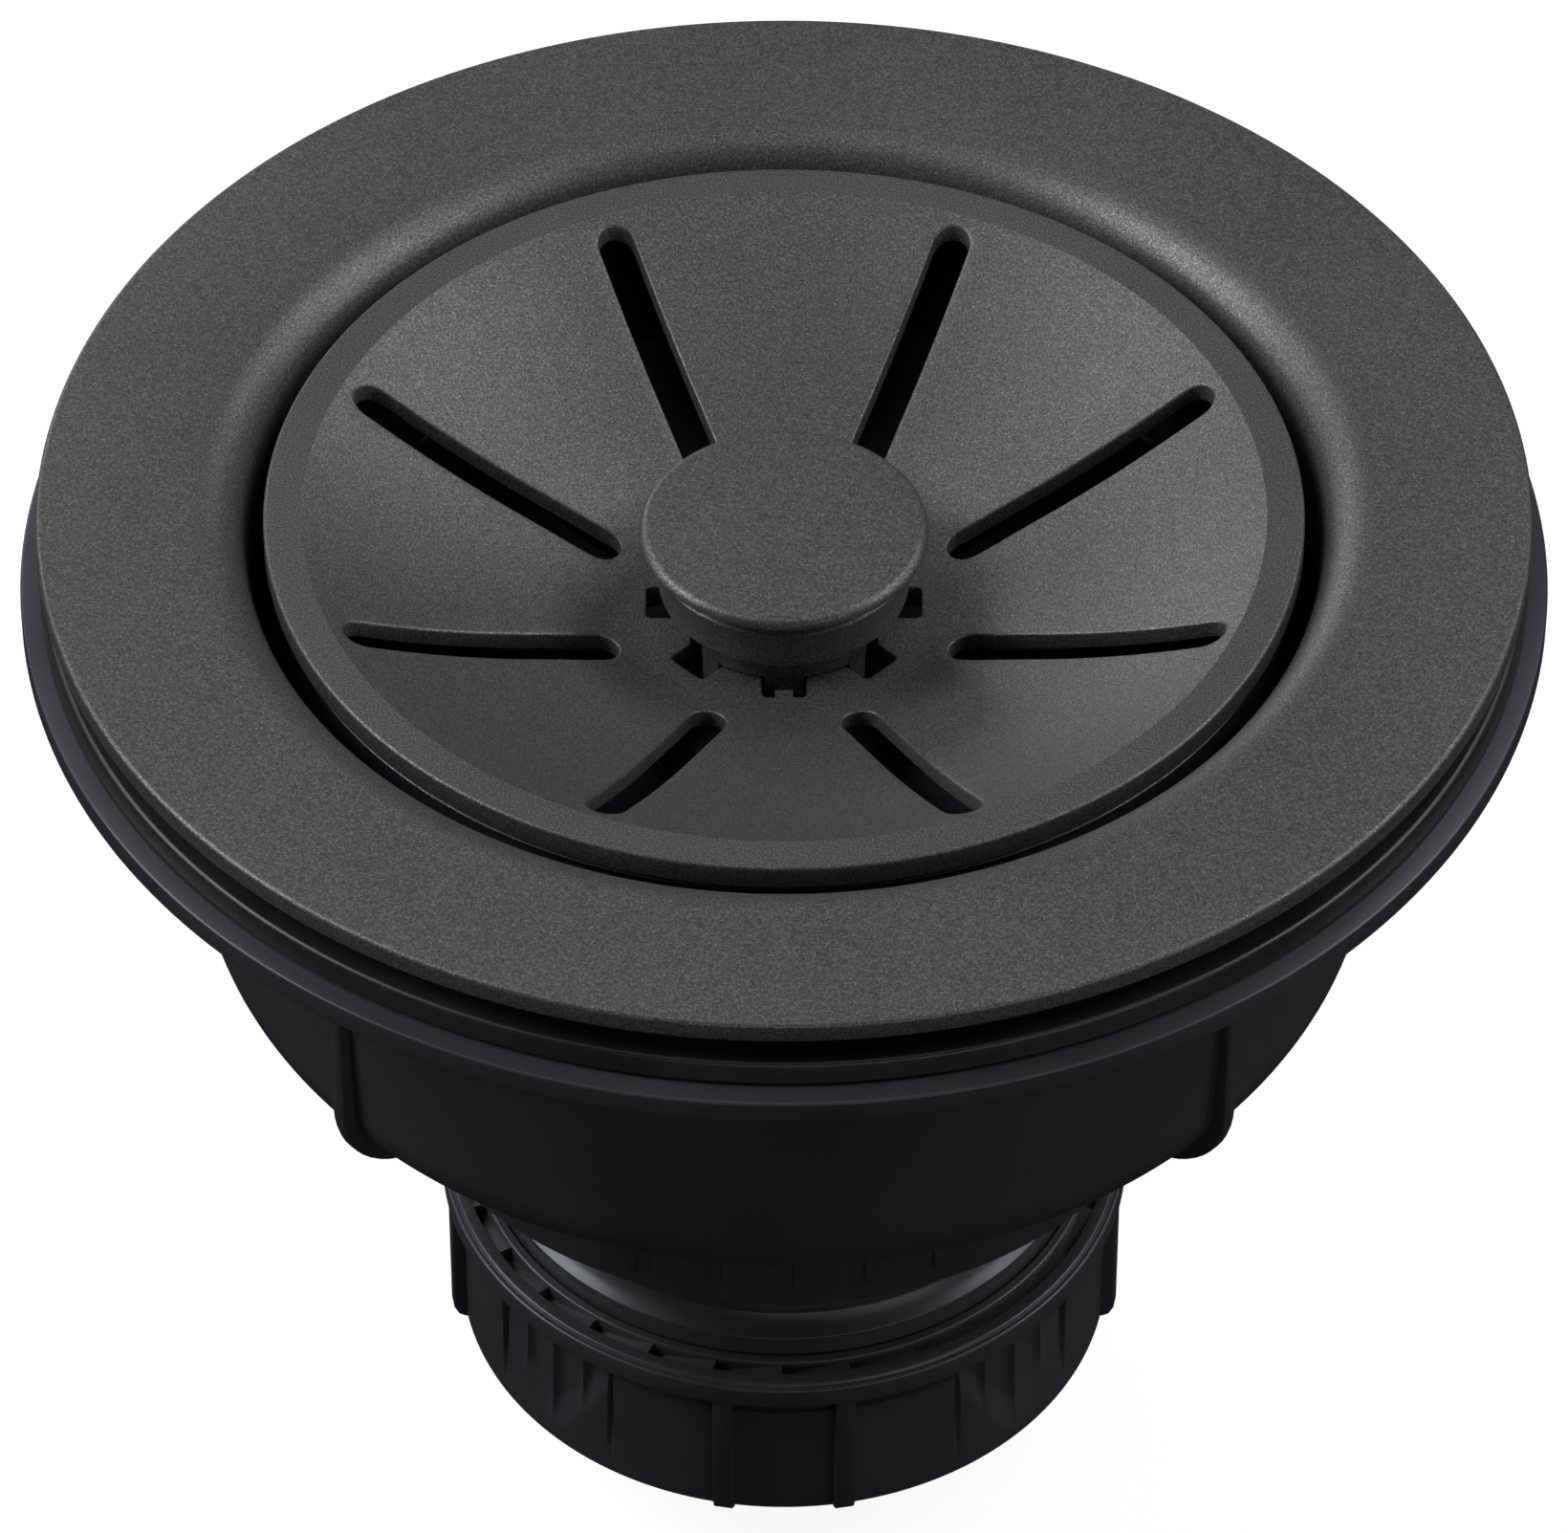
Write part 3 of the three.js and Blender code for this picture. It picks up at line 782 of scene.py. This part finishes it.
# ---- strainer basket ----
# (radius, depth) along the plate's top from the hub to the foot of its rim, and a point beyond
# them that only steers the end of the curve.
DISH = [
    (8.0, 11.4), (11.0, 11.4), (14.7, 10.8), (19.2, 9.2), (24.6, 7.15), (30.0, 4.74), (35.9, 1.7),
]
DISH_GUIDE = (41.8, -1.43)
RIM_IN = 36.85
SLOT_IN, SLOT_OUT, SLOT_W, SLOT_START = 13.8, 35.9, 2.95, 22.5
HUB_HOLE, NOTCH_END, NOTCH_W = 6.5, 10.6, 3.4
HOLE_SOFT = 0.22  # rounding of the edges of the slots


def dish_depth(radius):
    """Depth of the plate's top: flat at the hub, a smooth curve through DISH, and a flat rim."""
    flat_end, dish_end = DISH[1][0], DISH[-1][0]
    if radius <= flat_end:
        return DISH[0][1]
    if radius >= RIM_IN:
        return PLATE_TOP
    if radius >= dish_end:
        share = (radius - dish_end) / (RIM_IN - dish_end)
        return DISH[-1][1] * (1 - share) + PLATE_TOP * share
    points = [*DISH, DISH_GUIDE]
    i = next(i for i in range(1, len(points)) if radius <= points[i + 1][0])
    before, (r1, d1), (r2, d2), after = points[i - 1:i + 3]
    t = (radius - r1) / (r2 - r1)
    slope1 = (d2 - before[1]) / (r2 - before[0]) * (r2 - r1) if i > 1 else 0
    slope2 = (after[1] - d1) / (after[0] - r1) * (r2 - r1)
    t2, t3 = t * t, t * t * t
    return (
        (2 * t3 - 3 * t2 + 1) * d1 + (t3 - 2 * t2 + t) * slope1
        + (3 * t2 - 2 * t3) * d2 + (t3 - t2) * slope2
    )


def plate_thickness(radius):
    """The slotted sheet is thinner than the plate's middle and its rim."""
    thick, thin = 2.0, 1.5
    from_hub = clamped((radius - 11.2) / 2.0)
    to_rim = clamped((RIM_IN - radius) / 0.9)
    return thick - (thick - thin) * min(from_hub, to_rim)


def hub_loop(grow):
    """The plate's middle hole with its eight notches, grown by a margin."""
    soft = 0.45
    half = NOTCH_W / 2 + grow
    end = NOTCH_END + grow
    ring = HUB_HOLE + grow
    size = soft + grow * 0.5
    mouth = math.sqrt(ring**2 - half**2)
    side_places = (7.6, 8.6, 9.4)
    corner_steps = 5
    notch_angle = math.degrees(math.asin(half / ring))
    gap = 45 - 2 * notch_angle
    loop = []
    for turn in around(8):
        part = [(mouth, -half)]
        part += [(x, -half) for x in side_places]
        for start, side in ((-90, -1), (0, 1)):
            for step in range(corner_steps + 1):
                angle = math.radians(start + 90 * step / corner_steps)
                part.append((
                    end - size + size * math.cos(angle),
                    side * (half - size) + size * math.sin(angle),
                ))
        part += [(x, half) for x in side_places[::-1]]
        part.append((mouth, half))
        part += circle(ring, [notch_angle + gap * step / 4 for step in (1, 2, 3)])
        loop += spun(part, turn)
    return loop


def plate_slot(grow, degrees):
    """A slot's outline, grown by a margin, with points along its sides for the dish's curve."""
    return slot_loop(SLOT_IN - grow, SLOT_OUT + grow, SLOT_W + 2 * grow, degrees, 26)


def along_spoke(x, y, start):
    """A point's place along and across the nearest of eight spokes, the first at this angle."""
    pitch = 45
    degrees = math.degrees(math.atan2(y, x)) - start
    off = math.radians((degrees + pitch / 2) % pitch - pitch / 2)
    return math.hypot(x, y) * math.cos(off), math.hypot(x, y) * math.sin(off)


def clear_of_holes(x, y, margin):
    along, across = along_spoke(x, y, 0)
    notch = along < NOTCH_END + margin and abs(across) < NOTCH_W / 2 + margin
    along, across = along_spoke(x, y, SLOT_START)
    slot = SLOT_IN - margin < along < SLOT_OUT + margin and abs(across) < SLOT_W / 2 + margin
    return math.hypot(x, y) > HUB_HOLE + margin and not notch and not slot


def encloses(loop, x, y):
    crossings = 0
    for (x1, y1), (x2, y2) in zip(loop, loop[1:] + loop[:1]):
        if (y1 > y) != (y2 > y) and x < x1 + (y - y1) / (y2 - y1) * (x2 - x1):
            crossings += 1
    return crossings % 2 == 1


def plate_plan(outer):
    """The plate in plan: its points, how far each drops at a hole's soft edge, and its faces."""
    loops = []
    for grow in (0.0, 0.02, 0.07, 0.14, HOLE_SOFT):
        drop = HOLE_SOFT - math.sqrt(max(0.0, HOLE_SOFT**2 - (HOLE_SOFT - grow) ** 2))
        loops += [(plate_slot(grow, turn), drop) for turn in around(8, SLOT_START)]
        loops.append((hub_loop(grow * 0.7), drop * 0.7))
    for radius in (RIM_IN - 0.06, RIM_IN, RIM_IN + 0.06, outer):
        loops.append((circle(radius, around(360)), 0.0))
    points, drops, edges = [], [], []
    for loop, drop in loops:
        first = len(points)
        points += loop
        drops += [drop] * len(loop)
        edges += [(first + i, first + (i + 1) % len(loop)) for i in range(len(loop))]

    # Loose points between the loops, on rings whose points stand about as far apart as the rings.
    radius, spacing, gap = 7.2, 0.75, 0.35
    while radius < outer - 0.4:
        per_ring = max(72, int(radius * 7) // 8 * 8)
        for x, y in circle(radius, around(per_ring, 0.3)):
            if clear_of_holes(x, y, HOLE_SOFT + gap):
                points.append((x, y))
                drops.append(0.0)
        radius += spacing
    output_type, epsilon = 0, 1e-5  # type 0 keeps every triangle inside the outermost loop
    result = delaunay_2d_cdt([Vector(p) for p in points], edges, [], output_type, epsilon)
    plan, faces, origins = result[0], result[2], result[3]

    hub, slot = hub_loop(0), plate_slot(0, 0)

    def solid(face):
        centre = sum((plan[i] for i in face), Vector((0, 0))) / len(face)
        if centre.length > outer:
            return False
        if centre.length < SLOT_IN - 1:
            return not encloses(hub, *centre)
        return not encloses(slot, *along_spoke(*centre, SLOT_START))

    point_drops = [max((drops[i] for i in origin), default=0.0) for origin in origins]
    return plan, point_drops, [face for face in faces if solid(face)]


def strainer_plate():
    """The slotted plate: its top and underside are one triangulated plan, lifted to the dish."""
    edge = 0.28
    outer = PLATE_R - edge
    under_in, under_top = 37.2, 1.7
    rim_foot = [(PLATE_R, 3.1), (PLATE_R - 0.2, 3.35), (PLATE_R - 0.6, 3.5)]
    plan, drops, faces = plate_plan(outer)
    bm = bmesh.new()
    top, under = [], []
    for (x, y), drop in zip(plan, drops):
        r = math.hypot(x, y)
        low = max(dish_depth(min(r, under_in)), under_top) + plate_thickness(r)
        top.append(bm.verts.new(Vector((x, y, TOP - dish_depth(r) - drop)) * MM))
        under.append(bm.verts.new(Vector((x, y, TOP - low)) * MM))
    open_edges = {}
    for face in faces:
        bm.faces.new([top[i] for i in face])
        bm.faces.new([under[i] for i in reversed(face)])
        for i in range(len(face)):
            pair = (face[i], face[(i + 1) % len(face)])
            key = (min(pair), max(pair))
            open_edges[key] = None if key in open_edges else pair
    rim_columns = {}
    rim_profile = [
        *((outer + out, PLATE_TOP + edge + down) for out, down in arc(0, 0, edge, 90, 0, 6)[1:]),
        *rim_foot,
    ]

    def rim_column(i):
        if i not in rim_columns:
            turn = math.degrees(math.atan2(plan[i].y, plan[i].x))
            middle = [bm.verts.new(polar(radius, turn, depth)) for radius, depth in rim_profile]
            rim_columns[i] = [top[i], *middle, under[i]]
        return rim_columns[i]

    for pair in open_edges.values():
        if pair is None:
            continue
        a, b = pair
        if min(plan[a].length, plan[b].length) > outer - 0.01:
            first, second = rim_column(a), rim_column(b)
            for k in range(len(first) - 1):
                bm.faces.new((first[k], first[k + 1], second[k + 1], second[k]))
        else:
            bm.faces.new((top[a], under[a], under[b], top[b]))
    bmesh.ops.delete(bm, geom=[v for v in bm.verts if not v.link_faces], context="VERTS")
    piece = finish_mesh("dished_plate", bm, sharp=38)
    place(piece, "strainer", "graphite_coating", COATING, "strainer_plate")


def basket_cup():
    """The cup under the plate, with slots in its floor and six openings in its foot."""
    outer = reach("basket_cup")
    inner = outer - 1
    top, foot = top_of("basket_cup"), foot_of("basket_cup")
    floor, under, hole = 16.5, 18.0, 6.5
    slot_in, slot_out, slot_width = 12, 35, 4
    opening_top, opening_width = 19.5, 14
    outline = [
        (hole, floor, 0.2), (inner, floor, 1.2), (inner, top, 0.2), (outer, top, 0.3),
        (outer, foot, 0.3), (inner, foot, 0.3), (inner, under, 0.8), (hole, under, 0.2),
    ]
    piece = turned("perforated_cup", outline)
    slots = [slot_loop(slot_in, slot_out, slot_width, turn) for turn in around(8)]
    combine_slabs(piece, slots, floor - 1, under + 1)
    openings = [bar_loop(inner - 2, outer + 2, opening_width, turn) for turn in around(6, 30)]
    combine_slabs(piece, openings, opening_top, foot + 1)
    place(piece, "strainer", "moulded_plastic", PLASTIC, "basket_cup")


def hub_collar():
    """The collar that snaps into the plate, with legs in the notches, slits and two hooks."""
    sleeve, bore, outer = 6.2, 3.55, 8.74
    top, seat, barb, foot = 9.5, 11.25, 18.2, 19.4
    outline = [
        (bore, top, 0.2), (outer, top, 0.2), (outer, seat, 0.1), (sleeve, seat, 0.1),
        (sleeve, barb, 0.1), (7.3, barb + 0.15, 0.15), (6, foot, 0.3), (bore, foot, 0.2),
    ]
    piece = turned("snap_collar", outline, 144)
    legs, hooks, slits = around(8), (90, 270), (39, 141, 219, 321)
    # angles, inner and outer radius, width, top and foot, and what is done with the bars
    for turns, start, end, width, high, low, operation in (
        (legs, sleeve - 0.5, 8.64, 3.0, 10.8, 13.6, "UNION"),
        (hooks, 8.3, 10.35, 1.4, 12.6, 13.5, "UNION"),
        (hooks, 9.5, 10.4, 1.38, 11.75, 13.2, "UNION"),
        (slits, 2, 9.4, 1.5, 14.5, 20, "DIFFERENCE"),
        (slits, 7.2, 9.4, 1.5, 9.9, 15, "DIFFERENCE"),
    ):
        bars = [bar_loop(start, end, width, turn) for turn in turns]
        combine_slabs(piece, bars, high, low, operation)
    place(piece, "strainer", "graphite_coating", COATING, "hub_collar")


# ---- knob and plug ----
def knob():
    """The lift knob: a disc with a rounded edge on a bowl-shaped neck, hollow for the stem."""
    foot = foot_of("knob")
    socket, socket_top = 3.3, 5.3
    outline = [
        (0, KNOB_TOP),
        (KNOB_R, KNOB_TOP, 0.75),
        (KNOB_R - 0.02, 4.15, 0.14),
        (9.8, 4.2, 0.1),
        (9.8, 5.35, 0.05),
        (10.12, 5.6, 0.2),
        (9.88, 6.6, 2.0),
        (9.66, 8.0, 1.2),
        (9.63, foot, 0.2),
        (socket, foot, 0.2),
        (socket, socket_top, 0.2),
        (0, socket_top),
    ]
    place(turned("lift_knob", outline, 192), "plug", "graphite_coating", COATING, "knob")


def knob_stem():
    top, foot = top_of("knob_stem"), foot_of("knob_stem")
    stem, tip = 3.0, 2.4
    seal_r, seal_top, seal_foot = 2.3, 16.5, 17.7
    clip_r, clip_top, clip_foot = 1.9, 28.65, 29.55
    shoulder = 24.3
    outline = [
        (0, top), (stem, top, 0.4),
        (stem, seal_top, 0.1), (seal_r, seal_top, 0.1),
        (seal_r, seal_foot, 0.1), (stem, seal_foot, 0.1),
        (stem, shoulder, 0.15), (tip, shoulder, 0.1),
        (tip, clip_top, 0.05), (clip_r, clip_top, 0.05),
        (clip_r, clip_foot, 0.05), (tip, clip_foot, 0.05),
        (tip, foot, 0.3), (0, foot),
    ]
    place(turned("plug_stem", outline, 96), "plug", "stainless", STEEL, "knob_stem")


def stem_seal():
    middle = (top_of("stem_seal") + foot_of("stem_seal")) / 2
    ring_r, cord_r, sides = 2.84, 0.45, 16
    outline = arc(ring_r, middle, cord_r, 0, 360 - 360 / sides, sides - 1)
    place(turned("o_ring", outline, 96), "plug", "black_rubber", RUBBER, "stem_seal")


def plug_carrier():
    top, foot = top_of("plug_carrier"), foot_of("plug_carrier")
    bore, outer = 2.7, 31
    outline = [
        (bore, top, 0.1), (8, top, 0.3), (8.6, top + 0.6, 0.2), (outer - 0.8, top + 0.6, 0.3),
        (outer, top + 1.0, 0.3), (outer, foot, 0.2), (bore, foot, 0.1),
    ]
    place(turned("plug_disc", outline), "plug", "moulded_plastic", PLASTIC, "plug_carrier")


def plug_seal():
    top, foot = top_of("plug_seal"), foot_of("plug_seal")
    bore, outer = 2.7, reach("plug_seal")
    groove = foot - 0.4
    outline = [
        (bore, top, 0.1), (outer, top, 0.15), (outer - 0.05, top + 0.25, 0.15),
        (34.1, foot - 0.1, 0.3), (33.6, foot, 0.2), (30, foot, 0.3), (29.4, groove, 0.3),
        (22, groove, 0.3), (21.4, foot, 0.3), (bore, foot, 0.1),
    ]
    place(turned("plug_lip_seal", outline), "plug", "black_rubber", RUBBER, "plug_seal")


def stem_clip():
    """The retaining ring, open on one side."""
    top, foot = top_of("stem_clip"), foot_of("stem_clip")
    inner, outer, opening = 2.2, 4.2, 2.4
    outline = [(inner, top, 0.08), (outer, top, 0.12), (outer, foot, 0.12), (inner, foot, 0.08)]
    piece = turned("retaining_clip", outline, 96)
    combine_slabs(piece, [bar_loop(1, 6, opening, 0)], top - 1, foot + 1)
    place(piece, "plug", "stainless", STEEL, "stem_clip")


sink_flange()
flange_seal()
body_gasket()
drain_body()
threaded_insert()
clamp_screw()
flat_ring("head_washer", "screw_washer", 3.2, "flange", "stainless", STEEL)
flat_ring("head_seal", "screw_seal", 3.2, "flange", "black_rubber", RUBBER)
slip_nut()
flat_ring("friction_ring", "slip_washer", 20.6, "slip_ring", "moulded_plastic", PLASTIC)
cone_gasket()
strainer_plate()
basket_cup()
hub_collar()
knob()
knob_stem()
stem_seal()
plug_carrier()
plug_seal()
stem_clip()


# ---- stage ----
def floor():
    """A plain white floor, low enough for the slip nut to come down off its thread.

    It is unseen by diffuse and glossy rays, because the near-black plastic would mirror it.
    """
    nut_travel, clearance = 9.25, 0.25
    m = Nodes("pale_floor")
    tone = m.noise(6, detail=2)
    colour = m.ramp(tone, (0.3, (0.20, 0.20, 0.20)), (0.7, (0.22, 0.22, 0.22)))
    m.link(colour, m.shader.inputs["Base Color"])
    m.shader.inputs["Roughness"].default_value = 0.9
    m.shader.inputs["Specular IOR Level"].default_value = 0.0
    m.shader.inputs["Emission Color"].default_value = (1, 1, 1, 1)
    m.shader.inputs["Emission Strength"].default_value = 0.9
    bm = bmesh.new()
    bmesh.ops.create_grid(bm, x_segments=4, y_segments=4, size=4)
    bmesh.ops.translate(bm, verts=bm.verts, vec=(0, 0, -(nut_travel + clearance) * MM))
    piece = finish_mesh("floor", bm)
    piece.data.materials.append(m.material)
    piece.visible_diffuse = False
    piece.visible_glossy = False


def softbox(name, azimuth, elevation, width, height, power):
    """A soft panel on a sphere round the waste, facing its middle."""
    distance, middle = 1.2, Vector((0, 0, 0.07))
    light = bpy.data.lights.new(name, "AREA")
    light.shape = "RECTANGLE"
    light.size = width
    light.size_y = height
    light.energy = power
    lamp = bpy.data.objects.new(name, light)
    turn, rise = math.radians(azimuth), math.radians(elevation)
    towards = Vector((
        math.cos(turn) * math.cos(rise), math.sin(turn) * math.cos(rise), math.sin(rise),
    ))
    lamp.location = middle + towards * distance
    lamp.rotation_euler = (-towards).to_track_quat("-Z", "Y").to_euler()
    bpy.context.scene.collection.objects.link(lamp)


def camera():
    """The camera that was fitted to the photograph's round edges.

    It stands 42 degrees above the flange's middle and looks down a little more steeply.
    """
    distance, elevation, tilt = 0.7, 42.09, 43.8
    focal, image_width = 9603, 1640  # in pixels
    view = bpy.data.cameras.new("camera")
    view.sensor_width = 36
    view.lens = view.sensor_width * focal / image_width
    eye = bpy.data.objects.new("camera", view)
    angle = math.radians(elevation)
    eye.location = (0, -distance * math.cos(angle), distance * math.sin(angle) + TOP * MM)
    eye.rotation_euler = (math.radians(90 - tilt), 0, 0)
    bpy.context.scene.collection.objects.link(eye)
    bpy.context.scene.camera = eye


def world():
    scene = bpy.context.scene
    scene.world = bpy.data.worlds.new("studio")
    scene.world.use_nodes = True
    sky = scene.world.node_tree.nodes["Background"]
    sky.inputs["Color"].default_value = (1, 1, 1, 1)
    sky.inputs["Strength"].default_value = 0.008
    scene.view_settings.view_transform = "Standard"


floor()
camera()
world()
# Name, azimuth and elevation in degrees, width and height in metres, and power in watts;
# azimuths start at +X and go anticlockwise, seen from above.
SOFTBOXES = (
    ("left_high", 180, 40, 0.5, 0.5, 8.0),
    ("left_low", 180, 13, 0.5, 0.3, 2.6),
    ("right_high", 0, 40, 0.5, 0.5, 4.7),
    ("right_low", 0, 13, 0.5, 0.3, 1.3),
    ("right_back_high", 38, 46, 0.5, 0.5, 2.9),
    ("left_back_high", 142, 46, 0.5, 0.5, 2.0),
    ("back_high", 90, 42, 0.7, 0.7, 0.55),
    ("left_back_low", 120, 14, 0.6, 0.4, 2.4),
    ("right_front_low", 310, 12, 0.6, 0.4, 1.4),
    ("front_low", 275, 2, 0.8, 0.2, 1.4),
    ("front_top", 270, 75, 0.6, 0.6, 1.45),
)
for lamp in SOFTBOXES:
    softbox(*lamp)
